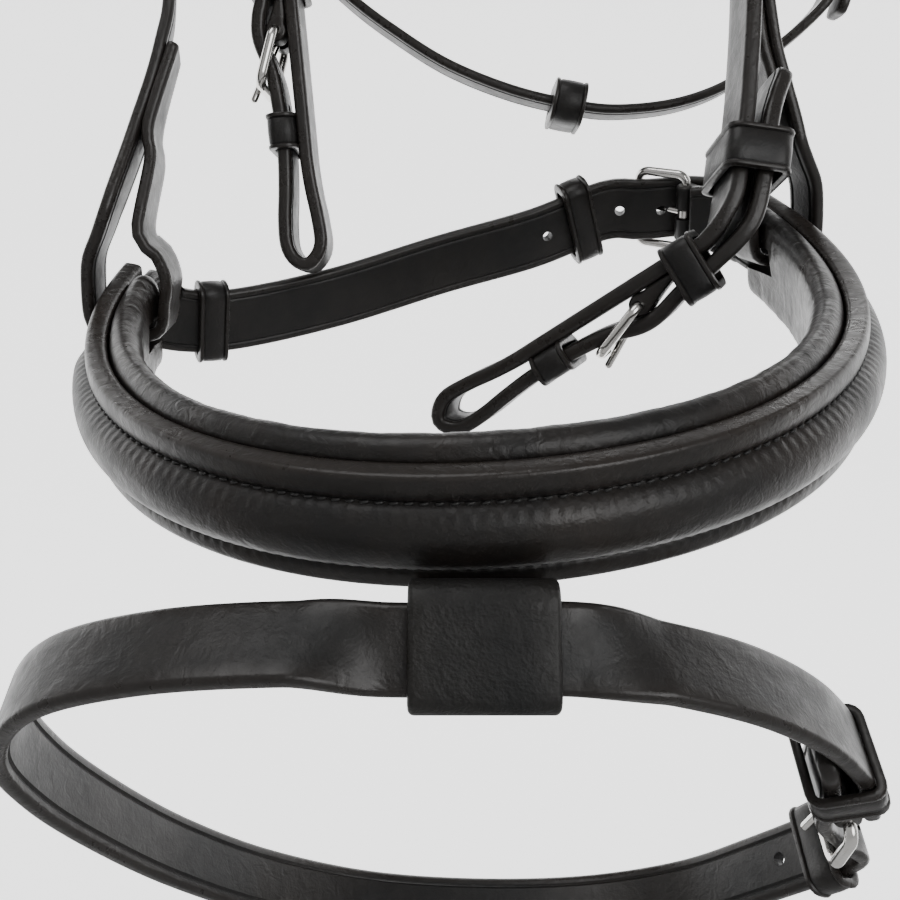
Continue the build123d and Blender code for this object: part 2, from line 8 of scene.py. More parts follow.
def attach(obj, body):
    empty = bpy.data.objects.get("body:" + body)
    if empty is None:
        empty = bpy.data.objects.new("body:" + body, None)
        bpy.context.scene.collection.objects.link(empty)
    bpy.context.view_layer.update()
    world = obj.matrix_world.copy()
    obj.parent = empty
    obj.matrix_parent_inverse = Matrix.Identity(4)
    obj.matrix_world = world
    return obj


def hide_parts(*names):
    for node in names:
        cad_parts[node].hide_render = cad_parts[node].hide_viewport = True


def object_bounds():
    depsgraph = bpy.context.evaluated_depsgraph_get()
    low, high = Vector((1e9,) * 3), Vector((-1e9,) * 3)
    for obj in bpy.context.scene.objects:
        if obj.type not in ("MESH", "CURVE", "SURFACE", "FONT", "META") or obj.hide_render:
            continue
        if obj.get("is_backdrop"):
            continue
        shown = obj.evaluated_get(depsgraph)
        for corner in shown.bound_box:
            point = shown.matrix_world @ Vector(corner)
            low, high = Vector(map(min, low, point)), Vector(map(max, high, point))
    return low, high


# A black leather bridle round an absent head. Lengths are millimetres until a mesh is
# made. Routes, spots and sizes are those of the CAD parts; what is added here is the
# leather's own shape: rounded and creased edges, stitches, puckers, padding and holes.
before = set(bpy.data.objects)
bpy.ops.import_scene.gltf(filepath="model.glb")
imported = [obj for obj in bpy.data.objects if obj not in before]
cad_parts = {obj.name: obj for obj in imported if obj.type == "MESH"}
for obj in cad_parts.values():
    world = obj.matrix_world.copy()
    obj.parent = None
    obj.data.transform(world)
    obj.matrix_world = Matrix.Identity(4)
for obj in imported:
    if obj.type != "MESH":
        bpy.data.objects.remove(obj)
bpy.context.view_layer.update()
MM = 0.001

CHEEK_WIDTH, CHEEK_THICK = 16.0, 4.0
HANGER_WIDTH, HANGER_THICK = 14.0, 3.2
THROAT_WIDTH, THROAT_THICK = 12.0, 3.0
CHIN_WIDTH, CHIN_THICK = 20.0, 3.6
FLASH_WIDTH, FLASH_THICK = 16.0, 3.6
BROW_WIDTH, BROW_THICK = 16.0, 4.0
CROWN_WIDTH, CROWN_THICK = 36.0, 6.0
KEEPER_THICK, FIT = 1.6, 0.4
WIRE, CHAPE = 1.4, 1.55
FRAME_LENGTH, FRAME_RISE = 15.0, 5.6
ARCH_X, ARCH_Z = 66.0, 45.0
CROWN_END, LAP_TOP = -105.0, -73.0
CHEEK_Y, THROAT_Y = -9.0, 9.0
RING_Z = -430.0
RING_A, RING_B = 96.0, 97.7
DROOP, ROLL, RING_SAG = 28.2, 3.4, -9.5
BAND_HEIGHT, BAND_THICK = 26.0, 5.0
LINING_IN = 8.0
RAISE_HIGH = 4.0
LEFT_SLOT, RIGHT_SLOT = pi - 0.02, 2 * pi + 0.25
SLOT_LONG, SLOT_HIGH, SLOT_UP = 19.0, 8.0, 0.5
BAND_START, BAND_END = pi - 0.17, 2 * pi + 0.40


# ---- lines, stations and spots, as in the CAD parts ------------------------------
def lerp(a, b, f):
    return a * (1 - f) + b * f


def glide(p0, p1, p2, p3, f):
    """Catmull-Rom point between p1 and p2."""
    a = p1 * 2
    b = (p2 - p0) * f
    c = (p0 * 2 - p1 * 5 + p2 * 4 - p3) * (f * f)
    d = (p1 * 3 - p0 - p2 * 3 + p3) * (f * f * f)
    return (a + b + c + d) * 0.5


def stations(keys, step=1.0):
    """Stations (point, across, outward) along a smooth line through (point, across) keys."""
    points = [Vector(k[0]) for k in keys]
    across = [Vector(k[1]).normalized() for k in keys]
    ends = [points[0] * 2 - points[1]] + points + [points[-1] * 2 - points[-2]]
    line, side = [], []
    for i in range(len(points) - 1):
        count = max(1, round((points[i + 1] - points[i]).length / step))
        for j in range(count):
            f = j / count
            line.append(glide(ends[i], ends[i + 1], ends[i + 2], ends[i + 3], f))
            side.append(lerp(across[i], across[i + 1], f))
    line.append(points[-1])
    side.append(across[-1])
    result = []
    for i, here in enumerate(line):
        ahead = line[min(i + 1, len(line) - 1)]
        behind = line[max(i - 1, 0)]
        along = (ahead - behind).normalized()
        wide = (side[i] - along * side[i].dot(along)).normalized()
        result.append((here, wide, along.cross(wide)))
    return result


class Spot:
    """A place on a strap: u runs along it, v is its outer side, w is its width."""

    def __init__(self, origin, u, v):
        self.o = Vector(origin)
        self.u = Vector(u).normalized()
        raw = Vector(v)
        self.v = (raw - self.u * raw.dot(self.u)).normalized()
        self.w = self.u.cross(self.v)

    def at(self, u, v=0.0, w=0.0):
        return self.o + self.u * u + self.v * v + self.w * w


def spot_near(keys, place, step=5.0):
    """The spot on a strap's own line that is nearest to a place."""
    place = Vector(place)
    here, wide, outward = min(stations(keys, step), key=lambda s: (s[0] - place).length)
    spot = Spot((0, 0, 0), wide.cross(outward), outward)
    spot.o = here
    return spot


class Track:
    """A strap's middle line, measured along its length."""

    def __init__(self, steps):
        self.point, self.wide, self.outward = (
            np.array([list(step[k]) for step in steps]) for k in range(3)
        )
        legs = np.linalg.norm(np.diff(self.point, axis=0), axis=1)
        self.s = np.concatenate([[0], np.cumsum(legs)])
        self.length = self.s[-1]

    def at(self, s):
        """Points, width directions and outward directions at distances s."""
        return [
            np.stack([np.interp(s, self.s, a[:, k]) for k in range(3)], -1)
            for a in (self.point, self.wide, self.outward)
        ]

    def nearest(self, place):
        return self.s[np.argmin(np.linalg.norm(self.point - np.array(place), axis=1))]


# ---- materials -------------------------------------------------------------------
class Nodes:
    """A small helper for building a material's node tree."""

    def __init__(self, name):
        self.material = bpy.data.materials.new(name)
        self.material.use_nodes = True
        self.tree = self.material.node_tree
        self.shader = self.tree.nodes["Principled BSDF"]

    def add(self, kind, settings=None, **inputs):
        made = self.tree.nodes.new(kind)
        for key, value in (settings or {}).items():
            setattr(made, key, value)
        for key, value in inputs.items():
            self.feed(made.inputs[key.replace("_", " ")], value)
        return made

    def feed(self, socket, value):
        if isinstance(value, bpy.types.NodeSocket):
            self.tree.links.new(value, socket)
        else:
            socket.default_value = value

    def ramp(self, fac, low, high, a, b):
        """fac from low to high becomes a number from a to b."""
        made = self.add("ShaderNodeMapRange", {"clamp": True})
        for key, value in zip((0, 1, 2, 3, 4), (fac, low, high, a, b)):
            self.feed(made.inputs[key], value)
        return made.outputs[0]

    def math(self, operation, a, b):
        made = self.add("ShaderNodeMath", {"operation": operation})
        self.feed(made.inputs[0], a)
        self.feed(made.inputs[1], b)
        return made.outputs[0]

    def mix(self, fac, a, b):
        made = self.add("ShaderNodeMix", {"data_type": "RGBA"})
        self.feed(made.inputs[0], fac)
        self.feed(made.inputs[6], a)
        self.feed(made.inputs[7], b)
        return made.outputs[2]


def leather(name, dark, light, rough, grain, gloss=0.12, wrinkle=0.3):
    """Waxed black leather: mottled tone, pores, soft wrinkles, and burnished, glossier edges painted
    lighter, partly as edge wear and partly as a painted highlight.
    """
    n = Nodes(name)
    where = n.add("ShaderNodeTexCoord").outputs["Object"]
    cloud = n.add("ShaderNodeTexNoise", Vector=where, Scale=38.0, Detail=4.0, Roughness=0.6)
    patch = n.add("ShaderNodeTexNoise", Vector=where, Scale=240.0, Detail=3.0, Roughness=0.6)
    pores = n.add("ShaderNodeTexVoronoi", Vector=where, Scale=1500.0)
    fibre = n.add("ShaderNodeTexNoise", Vector=where, Scale=2600.0, Detail=3.0)
    crinkle = n.add("ShaderNodeTexNoise", Vector=where, Scale=330.0, Detail=5.0, Distortion=0.8)
    edge = n.add("ShaderNodeAttribute", {"attribute_name": "edge"}).outputs["Fac"]
    tone = n.mix(n.ramp(cloud.outputs["Fac"], 0.38, 0.66, 0.0, 1.0), (*dark, 1), (*light, 1))
    # Where the edge mask is set, the colour is painted lighter: partly edge wear, partly a painted
    # highlight.
    edge_wear_and_highlight = n.mix(n.math("MULTIPLY", edge, 0.5), tone, (light[0] * 1.7, light[1] * 1.7, light[2] * 1.7, 1))
    n.feed(n.shader.inputs["Base Color"], edge_wear_and_highlight)
    base = n.ramp(patch.outputs["Fac"], 0.3, 0.7, rough - 0.06, rough + 0.07)
    base = n.math("ADD", base, n.ramp(cloud.outputs["Fac"], 0.35, 0.65, 0.05, -0.05))
    n.feed(n.shader.inputs["Roughness"], n.math("SUBTRACT", base, n.math("MULTIPLY", edge, gloss)))
    height = n.math("ADD", n.math("MULTIPLY", pores.outputs["Distance"], 0.5),
                    n.math("MULTIPLY", fibre.outputs["Fac"], 0.4))
    height = n.math("MULTIPLY", height, n.ramp(edge, 0.0, 1.0, 1.0, 0.35))
    fine = n.add("ShaderNodeBump", Strength=grain, Distance=0.00025, Height=height)
    soft = n.add("ShaderNodeBump", Strength=wrinkle, Distance=0.0006, Height=crinkle.outputs["Fac"],
                 Normal=fine.outputs["Normal"])
    n.feed(n.shader.inputs["Normal"], soft.outputs["Normal"])
    n.shader.inputs["Specular IOR Level"].default_value = 0.36
    n.shader.inputs["Coat Weight"].default_value = 0.05
    n.shader.inputs["Coat Roughness"].default_value = 0.3
    return n.material


def steel_material():
    """Polished stainless steel with faint wear."""
    n = Nodes("polished_steel")
    where = n.add("ShaderNodeTexCoord").outputs["Object"]
    wear = n.add("ShaderNodeTexNoise", Vector=where, Scale=420.0, Detail=4.0)
    lines = n.add("ShaderNodeTexNoise", Vector=where, Scale=1800.0, Detail=2.0)
    tone = n.mix(wear.outputs["Fac"], (0.62, 0.60, 0.57, 1), (0.80, 0.79, 0.77, 1))
    n.feed(n.shader.inputs["Base Color"], tone)
    n.shader.inputs["Metallic"].default_value = 1.0
    n.feed(n.shader.inputs["Roughness"], n.ramp(wear.outputs["Fac"], 0.3, 0.7, 0.10, 0.22))
    bump = n.add("ShaderNodeBump", Strength=0.05, Distance=0.0001, Height=lines.outputs["Fac"])
    n.feed(n.shader.inputs["Normal"], bump.outputs["Normal"])
    return n.material


def thread_material():
    """Waxed black thread."""
    n = Nodes("waxed_thread")
    where = n.add("ShaderNodeTexCoord").outputs["Object"]
    twist = n.add("ShaderNodeTexNoise", Vector=where, Scale=3000.0, Detail=2.0)
    tone = n.mix(twist.outputs["Fac"], (0.006, 0.006, 0.006, 1), (0.02, 0.019, 0.018, 1))
    n.feed(n.shader.inputs["Base Color"], tone)
    n.shader.inputs["Roughness"].default_value = 0.55
    bump = n.add("ShaderNodeBump", Strength=0.3, Distance=0.0001, Height=twist.outputs["Fac"])
    n.feed(n.shader.inputs["Normal"], bump.outputs["Normal"])
    return n.material


STRAP = leather("strap_leather", (0.0075, 0.007, 0.0068), (0.017, 0.0145, 0.013), 0.42, 0.22)
FRONT = leather("noseband_leather", (0.008, 0.0072, 0.007), (0.020, 0.016, 0.0135), 0.40, 0.25,
                wrinkle=0.35)
SOFT = leather("lining_leather", (0.009, 0.008, 0.0075), (0.022, 0.0175, 0.015), 0.36, 0.12, wrinkle=0.5)
ROUGH = leather("tab_leather", (0.004, 0.004, 0.004), (0.009, 0.008, 0.007), 0.58, 0.8, wrinkle=0.7)
STEEL = steel_material()
THREAD = thread_material()


# ---- meshes ----------------------------------------------------------------------
def piece(name, points, faces, material, body, stands_for=(), edge=None):
    """A shown piece from points in millimetres; it rides on a CAD body."""
    mesh = bpy.data.meshes.new(name)
    mesh.from_pydata((np.asarray(points) * MM).tolist(), [], faces)
    mesh.polygons.foreach_set("use_smooth", [True] * len(mesh.polygons))
    mesh.set_sharp_from_angle(angle=radians(42))
    mesh.materials.append(material)
    if edge is not None:
        layer = mesh.attributes.new("edge", "FLOAT", "POINT")
        layer.data.foreach_set("value", np.asarray(edge, np.float32))
    obj = bpy.data.objects.new(name, mesh)
    bpy.context.scene.collection.objects.link(obj)
    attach(obj, body)
    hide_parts(*stands_for)
    return obj


def tube(rings):
    """Points and faces of a closed tube through rings, an array (ring, point, xyz)."""
    count, around = rings.shape[:2]
    index = np.arange(count * around).reshape(count, around)
    after = np.roll(index, -1, axis=1)
    quads = np.stack([index[:-1], after[:-1], after[1:], index[1:]], -1).reshape(-1, 4)
    faces = quads.tolist() + [index[0][::-1].tolist(), index[-1].tolist()]
    return rings.reshape(-1, 3), faces


def torus(rings):
    """Points and faces of a ring of rings, closed both ways."""
    count, around = rings.shape[:2]
    index = np.arange(count * around).reshape(count, around)
    after = np.roll(index, -1, axis=1)
    quads = np.stack([index, after, np.roll(after, -1, axis=0), np.roll(index, -1, axis=0)], -1)
    return rings.reshape(-1, 3), quads.reshape(-1, 4).tolist()


def strap_profile(width, thick, crease=2.6, crown=0.2):
    """Section of a strap: (outward, across, edge), with rounded edges and creased lines."""
    h, t = width / 2, thick / 2
    r = min(0.42 * thick, 1.3)
    rows = []

    def corner(o, w, start):
        for k in range(5):
            a = radians(start + 22.5 * k)
            rows.append((o + r * cos(a), w + r * sin(a), 1.0))

    def face(side):
        across = [-0.92, 0.0, 0.92]
        flat = h - r
        marks = [f * (h - crease - 1.2) for f in across]
        for c in (-1, 1):
            for step, depth in ((-0.55, 0.0), (-0.25, 0.32), (0.0, 0.42), (0.25, 0.32), (0.55, 0.0)):
                marks.append((c * (h - crease) + step, depth))
        marks = sorted([(m, 0.0) if not isinstance(m, tuple) else m for m in marks])
        for w, depth in marks if side > 0 else marks[::-1]:
            rise = crown * (1 - (w / flat) ** 2)
            rows.append((side * (t + rise) - side * depth, w, 0.0))

    corner(-t + r, -h + r, 180)
    corner(t - r, -h + r, 270)
    if crease:
        face(1)
    else:
        for f in (-0.6, 0.0, 0.6):
            rows.append((t + crown * (1 - f * f), f * (h - r), 0.0))
    corner(t - r, h - r, 0)
    corner(-t + r, h - r, 90)
    for f in (0.6, 0.0, -0.6):
        rows.append((-t, f * (h - r), 0.0))
    return np.array(rows)


def spread(length, step):
    """Distances along a strap, closer together at its two ends."""
    near = np.array([0.0, 0.12, 0.35, 0.7, 1.2, 1.9, 2.8, 4.0])
    end = near[-1] * 1.2
    inner = np.linspace(0, length, max(3, int(length / step)))
    inner = inner[(inner > end) & (inner < length - end)]
    return np.unique(np.round(np.concatenate([near, inner, length - near]), 4))


def end_scale(s, length, full, radii):
    """How far a section reaches, as a share of full, where the strap's corners are rounded."""
    scale = np.ones_like(s)
    for gap, r in ((s, radii[0]), (length - s, radii[1])):
        inside = gap < r
        round_part = np.sqrt(np.maximum(r * r - (r - gap[inside]) ** 2, 0))
        scale[inside] = np.minimum(scale[inside], (full - r + round_part) / full)
    return scale


def strap(name, keys, width, thick, body, stands_for, corners=(0.9, 3.0), crease=2.6, step=2.0,
          material=None):
    """A strap along keys, with rounded ends, replacing CAD nodes. Returns it with its track."""
    track = Track(stations(keys, 1.0))
    profile = strap_profile(width, thick, crease)
    s = spread(track.length, step)
    o = np.repeat(profile[None, :, 0], len(s), 0)
    w = np.repeat(profile[None, :, 1], len(s), 0)
    o = o * end_scale(s, track.length, thick / 2, (0.9, 0.9))[:, None]
    w = w * end_scale(s, track.length, width / 2, corners)[:, None]
    point, wide, outward = track.at(s)
    rings = point[:, None] + outward[:, None] * o[..., None] + wide[:, None] * w[..., None]
    points, faces = tube(rings)
    edge = np.tile(profile[:, 2], len(s))
    obj = piece(name, points, faces, material or STRAP, body, stands_for, edge)
    return obj, track


# Faces of a box whose eight corners are listed with the last direction changing fastest.
BOX_FACES = [[0, 1, 3, 2], [4, 6, 7, 5], [0, 4, 5, 1], [2, 3, 7, 6], [0, 2, 6, 4], [1, 5, 7, 3]]


def cut(obj, points, faces):
    """Cuts a closed mesh, given in millimetres, out of a piece."""
    mesh = bpy.data.meshes.new("cutter")
    mesh.from_pydata((np.asarray(points) * MM).tolist(), [], faces)
    tool = bpy.data.objects.new("cutter", mesh)
    bpy.context.scene.collection.objects.link(tool)
    step = obj.modifiers.new("cut", "BOOLEAN")
    step.object = tool
    step.operation = "DIFFERENCE"
    step.solver = "EXACT"
    bpy.context.view_layer.update()
    depsgraph = bpy.context.evaluated_depsgraph_get()
    result = bpy.data.meshes.new_from_object(obj.evaluated_get(depsgraph), depsgraph=depsgraph)
    obj.modifiers.clear()
    obj.data = result
    result.name = obj.name
    bpy.data.objects.remove(tool)


def rods(ends, radius, sides=14):
    """Points and faces of separate closed cylinders between pairs of points."""
    points, faces = [], []
    for start, end in ends:
        start, end = np.array(start), np.array(end)
        axis = (end - start) / np.linalg.norm(end - start)
        side = np.cross(axis, [0.3, 0.5, 0.81])
        side /= np.linalg.norm(side)
        other = np.cross(axis, side)
        first = len(points)
        for middle in (start, end):
            for k in range(sides):
                a = 2 * pi * k / sides
                points.append(middle + radius * (side * cos(a) + other * sin(a)))
        ring = [first + k for k in range(sides)]
        turned = ring[1:] + ring[:1]
        faces += [[a, b, b + sides, a + sides] for a, b in zip(ring, turned)]
        faces += [ring[::-1], [k + sides for k in ring]]
    return np.array(points), faces


def punch(obj, track, distances, radius=1.6, reach=6.0):
    """Punches round holes through a strap at distances along its track."""
    point, wide, outward = track.at(np.array(distances))
    cut(obj, *rods([(p - o * reach, p + o * reach) for p, o in zip(point, outward)], radius))


def stitches(name, lines, body, length=1.9, radius=0.34, lean=0.16):
    """Stitches as one piece. lines holds (track, distances, across, outward) rows."""
    across, along = 8, np.array([-1.0, -0.8, -0.4, 0.4, 0.8, 1.0])
    girth = np.sqrt(np.maximum(1 - np.abs(along) ** 3, 0.02))
    points, faces = [], []
    turn = 2 * pi * np.arange(across) / across
    for track, distances, side, height in lines:
        here, wide, outward = track.at(np.asarray(distances, float))
        ahead = np.cross(wide, outward)
        for p, w, o, a in zip(here, wide, outward, ahead):
            middle = p + w * side + o * height
            way = a * cos(lean) + w * sin(lean)
            cross = w * cos(lean) - a * sin(lean)
            first = len(points)
            for t, g in zip(along, girth):
                dip = -0.28 * t * t
                for b in turn:
                    points.append(middle + way * t * length / 2 + cross * cos(b) * g * radius
                                  + o * (sin(b) * g * radius + dip))
            index = first + np.arange(len(along) * across).reshape(len(along), across)
            after = np.roll(index, -1, axis=1)
            faces += np.stack([index[:-1], after[:-1], after[1:], index[1:]], -1).reshape(-1, 4).tolist()
            faces += [index[0][::-1].tolist(), index[-1].tolist()]
    return piece(name, points, faces, THREAD, body)


def keeper(name, spot, u0, u1, v0, v1, half, body, thick=KEEPER_THICK, ridges=0.35, stands_for=None):
    """A leather loop with a raised bead along both its edges."""
    middle_v, half_v = (v0 + v1) / 2, (v1 - v0) / 2
    r = min(1.4, half_v * 0.8)
    path = []
    for cv, cw, start in ((1, 1, 0), (1, -1, 270), (-1, -1, 180), (-1, 1, 90)):
        for k in range(5):
            a = radians(start + 90 - 22.5 * k)
            path.append((cv * (half_v - r), cw * (half - r), cos(a), sin(a)))
    dense = []
    for i, (v, w, nv, nw) in enumerate(path):
        dense.append((v, w, nv, nw))
        v2, w2 = path[(i + 1) % len(path)][:2]
        gap = hypot(v2 - v, w2 - w)
        if gap > 2.5:
            count = int(gap / 1.6)
            for k in range(1, count):
                f = k / count
                dense.append((v + (v2 - v) * f, w + (w2 - w) * f, nv, nw))
    long = (u1 - u0) / 2
    bead = 1.1
    section = [(-long, 0.25), (-long + 0.2, 0.0), (0, 0.0), (long - 0.2, 0.0), (long, 0.25),
               (long, thick - 0.4), (long - 0.2, thick + ridges * 0.6),
               (long - bead * 0.5, thick + ridges), (long - bead, thick + ridges * 0.7),
               (long - bead - 0.35, thick - 0.25), (long - bead - 0.8, thick),
               (0, thick + 0.1), (-long + bead + 0.8, thick), (-long + bead + 0.35, thick - 0.25),
               (-long + bead, thick + ridges * 0.7), (-long + bead * 0.5, thick + ridges),
               (-long + 0.2, thick + ridges * 0.6), (-long, thick - 0.4)]
    shine = [0.6, 0, 0, 0, 0.6, 1, 1, 1, 0.8, 0, 0, 0, 0, 0, 0.8, 1, 1, 1]
    rings = np.zeros((len(dense), len(section), 3))
    for i, (v, w, nv, nw) in enumerate(dense):
        for j, (u, out) in enumerate(section):
            rings[i, j] = spot.at((u0 + u1) / 2 + u, middle_v + v + nv * (r + out), w + nw * (r + out))
    points, faces = torus(rings)
    return piece(name, points, faces, STRAP, body, stands_for or (name,), np.tile(shine, len(dense)))


# ---- buckles: what is leather round them -------------------------------------------
def bar_height(thick):
    return thick / 2 + CHAPE + WIRE + 0.15


def fastened(thick):
    """Key points (u, v) of the fastened strap's middle, from under the frame to its tip."""
    v1 = bar_height(thick)
    over = v1 + WIRE + CHAPE + 0.2 + thick / 2
    under = v1 + FRAME_RISE - WIRE - 0.3 - thick / 2
    flat = 1.5 * thick + 0.25
    return [(-26, flat + 0.2), (-FRAME_LENGTH, under), (-9, under + 0.35 * (over - under)),
            (-4, over - 0.5), (0, over), (4.5, over - 0.7), (10, flat + 1.7), (18, flat + 0.5),
            (28, flat), (36, flat)]


def running_span(thick):
    return -thick / 2 - FIT, 1.5 * thick + 0.25 + 1.8 + thick / 2 + FIT


def strap_keeper(name, keys, place, half_long, air, side, width, thick, body, wall, ridges=0.35, step=5.0):
    """A keeper round a single strap, at the place on its keys that is nearest to a point."""
    high = thick / 2 + air
    spot = spot_near(keys, place, step)
    keeper(name, spot, -half_long, half_long, -high, high, width / 2 + side, body, wall, ridges)


def chape(name, spot, thick, width, body, length=18.0):
    """The leather that wraps the buckle's bar, sewn down along the strap."""
    v1, low = bar_height(thick), thick / 2 + 0.08
    radius = WIRE + CHAPE
    outline = [(length, low), (length, low + 1.0), (length - 0.6, low + 1.5)]
    top = (radius * 0.55, v1 + radius * 0.83)
    for f in (0.2, 0.45, 0.7, 0.9):
        u = lerp(length - 0.6, top[0], f)
        outline.append((u, lerp(low + 1.5, top[1], f ** 1.6)))
    for k in range(15):
        a = radians(57 + 17.5 * k)
        outline.append((radius * cos(a), v1 + radius * sin(a)))
    outline.append((4.5, low))
    outline = np.array(outline)
    ahead = np.roll(outline, -1, axis=0) - np.roll(outline, 1, axis=0)
    normal = np.stack([ahead[:, 1], -ahead[:, 0]], -1)
    normal /= np.linalg.norm(normal, axis=1)[:, None]
    centre = outline.mean(0)
    if ((outline - centre) * normal).sum() < 0:
        normal = -normal
    half = width / 2 - 1
    rows, shine = [], []
    for w, inset in ((-half, 0.75), (-half + 0.15, 0.3), (-half + 0.6, 0.0), (-half / 2, 0.0), (0, 0.0),
                     (half / 2, 0.0), (half - 0.6, 0.0), (half - 0.15, 0.3), (half, 0.75)):
        ring = outline - normal * inset
        rows.append([list(spot.at(u, v, w)) for u, v in ring])
        shine += [1.0 if abs(w) > half - 0.4 else 0.0] * len(outline)
    points, faces = tube(np.array(rows))
    obj = piece(name, points, faces, STRAP, body, (name,), shine)
    slot = [spot.at(u, v, w) for u in (-6, 3.6) for v in (low - 1, v1 + radius + 1) for w in (-1.7, 1.7)]
    cut(obj, slot, BOX_FACES)
    return obj


def buckle_leather(name, spot, thick, width, body, sewn=18.0):
    """Chape and running keeper of a buckle whose frame and tongue are the CAD's own."""
    chape(name + "_chape", spot, thick, width, body, sewn)
    low, high = running_span(thick)
    keeper(name + "_keeper", spot, 10.5, 19.5, low, high, width / 2 + FIT, name + "_keeper")


def hole_places(track, spot, thick, pitch=13.0, before=1, after=2):
    """Distances of the tongue's hole and its neighbours along the fastened strap."""
    v1 = bar_height(thick)
    first = track.nearest(spot.at(-8.0, v1 + 2.6))
    count = range(-before, after + 1)
    return [first + k * pitch for k in count if 3.5 < first + k * pitch < track.length - 6]


# ---- headpiece and browband ----------------------------------------------------------
def arch(half, rise, low):
    """Keys of a strap laid over the poll: two straight sides and a half ellipse between."""
    points = [(-half, 0, low), (-half, 0, -ARCH_Z - 12)]
    for k in range(13):
        a = pi - pi * k / 12
        points.append((half * cos(a), 0, -ARCH_Z + CROWN_THICK / 2 + rise * sin(a)))
    points += [(half, 0, -ARCH_Z - 12), (half, 0, low)]
    return [(p, (0, 1, 0)) for p in points]


strap("headpiece", arch(ARCH_X, ARCH_Z, CROWN_END), CROWN_WIDTH, CROWN_THICK, "headgear", ("headpiece",),
      (6, 6), crease=4.0, step=3.0)

SLIP_OUT = CROWN_THICK / 2 + 0.5 + HANGER_THICK / 2
slip_arch = arch(ARCH_X + SLIP_OUT, ARCH_Z + SLIP_OUT, -100)
loop_in, loop_out = ARCH_X - CROWN_THICK / 2 - 0.6, ARCH_X + SLIP_OUT + HANGER_THICK / 2 + 0.6
loop_half = CROWN_WIDTH / 2 + 0.6
LOOP_THICK, LOOP_Z, BROW_DEPTH = 2.5, -53.0, 92.0
for name, sign in (("left", -1), ("right", 1)):
    loop_spot = Spot((sign * (loop_in + loop_out) / 2, 0, LOOP_Z), (0, 0, 1), (1, 0, 0))
    wide = (loop_out - loop_in) / 2
    keeper("browband_loop_" + name, loop_spot, -BROW_WIDTH / 2, BROW_WIDTH / 2, -wide, wide, loop_half,
           "browband", LOOP_THICK - 0.3)
brow_start = -(loop_half + LOOP_THICK)
brow_half = (loop_in + loop_out) / 2
brow_keys = []
for k in range(17):
    a = pi + pi * k / 16
    brow_keys.append(((brow_half * cos(a), brow_start + BROW_DEPTH * sin(a), LOOP_Z), (0, 0, 1)))
strap("browband", brow_keys, BROW_WIDTH, BROW_THICK, "browband", ("browband",), (1, 1), step=2.5)


# ---- noseband ----------------------------------------------------------------------
ring_x = Vector((cos(radians(ROLL)), 0, sin(radians(ROLL))))
ring_y = Vector((-sin(radians(ROLL)) * sin(radians(DROOP)), cos(radians(DROOP)),
                 cos(radians(ROLL)) * sin(radians(DROOP))))
ring_up = ring_x.cross(ring_y)
ring_centre = Vector((0, 0, RING_Z))


def ring_station(a):
    """Station on the noseband's ring; its sides flare so the lower edge stands out."""
    here = ring_centre + ring_x * (RING_A * cos(a)) + ring_y * (RING_B * sin(a))
    here = here + ring_up * (RING_SAG * cos(a) ** 2)
    flat = (ring_x * (cos(a) / RING_A) + ring_y * (sin(a) / RING_B)).normalized()
    flare = 0.03 + 0.16 * cos(a) ** 2
    wide = ring_up * cos(flare) - flat * sin(flare)
    outward = flat * cos(flare) + ring_up * sin(flare)
    return here, wide, outward


def ring_track(start, end, count=600):
    return Track([ring_station(start + (end - start) * k / count) for k in range(count + 1)])


def ring_spot(a, out=0.0, up=0.0, lift=0.5):
    """Spot on the ring whose u leans from the ring's own up towards plumb by lift."""
    here, wide, outward = ring_station(a)
    rising = lerp(wide, Vector((0, 0, 1)), lift)
    spot = Spot((0, 0, 0), rising, outward)
    spot.o = here + outward * out + wide * up
    return spot


def smooth(x, a, b):
    t = np.clip((x - a) / (b - a), 0, 1)
    return t * t * (3 - 2 * t)


ROW_TOP, ROW_LOW, PITCH = 7.0, -8.0, 2.6
band = ring_track(BAND_START, BAND_END)
raise_from = band.nearest(ring_station(pi + 0.13)[0])
raise_to = band.nearest(ring_station(2 * pi + 0.09)[0])


def band_height(s, x):
    """Outward height of the front's skin at distance s and across x: flanges and crowned pad."""
    there = smooth(s, raise_from - 3, raise_from + 11) * (1 - smooth(s, raise_to - 11, raise_to + 3))
    t = np.clip(np.abs((x + 0.5) / 7.35), 0, 1)
    pad = 0.05 + (RAISE_HIGH + 0.1) * np.maximum(1 - t ** 2.5, 0) ** 0.85
    flange = 0.28 * np.maximum(1 - (np.abs(np.abs(x + 0.5) - 10.3) / 2.6) ** 2, 0)
    height = BAND_THICK + flange + pad * (np.abs(x + 0.5) < 7.35) * there
    beat = 0.5 + 0.5 * np.cos(2 * pi * s / PITCH)
    for row, way in ((ROW_TOP, 1), (ROW_LOW, -1)):
        off = x - row
        height = height - 0.55 * there * np.exp(-(off / 0.55) ** 2)
        height = height - there * (0.30 * beat) * np.exp(-((off * way + 1.0) / 1.15) ** 2)
        height = height - there * (0.22 * beat) * np.exp(-((off * way - 0.9) / 0.8) ** 2)
    return height


across = np.concatenate([
    np.linspace(-11.9, -9.4, 6), np.linspace(-9.0, -7.2, 8), np.linspace(-6.8, -4.4, 7),
    np.linspace(-3.7, 3.2, 9), np.linspace(3.7, 6.0, 7), np.linspace(6.3, 8.0, 8),
    np.linspace(8.5, 11.9, 7)])
h = BAND_HEIGHT / 2
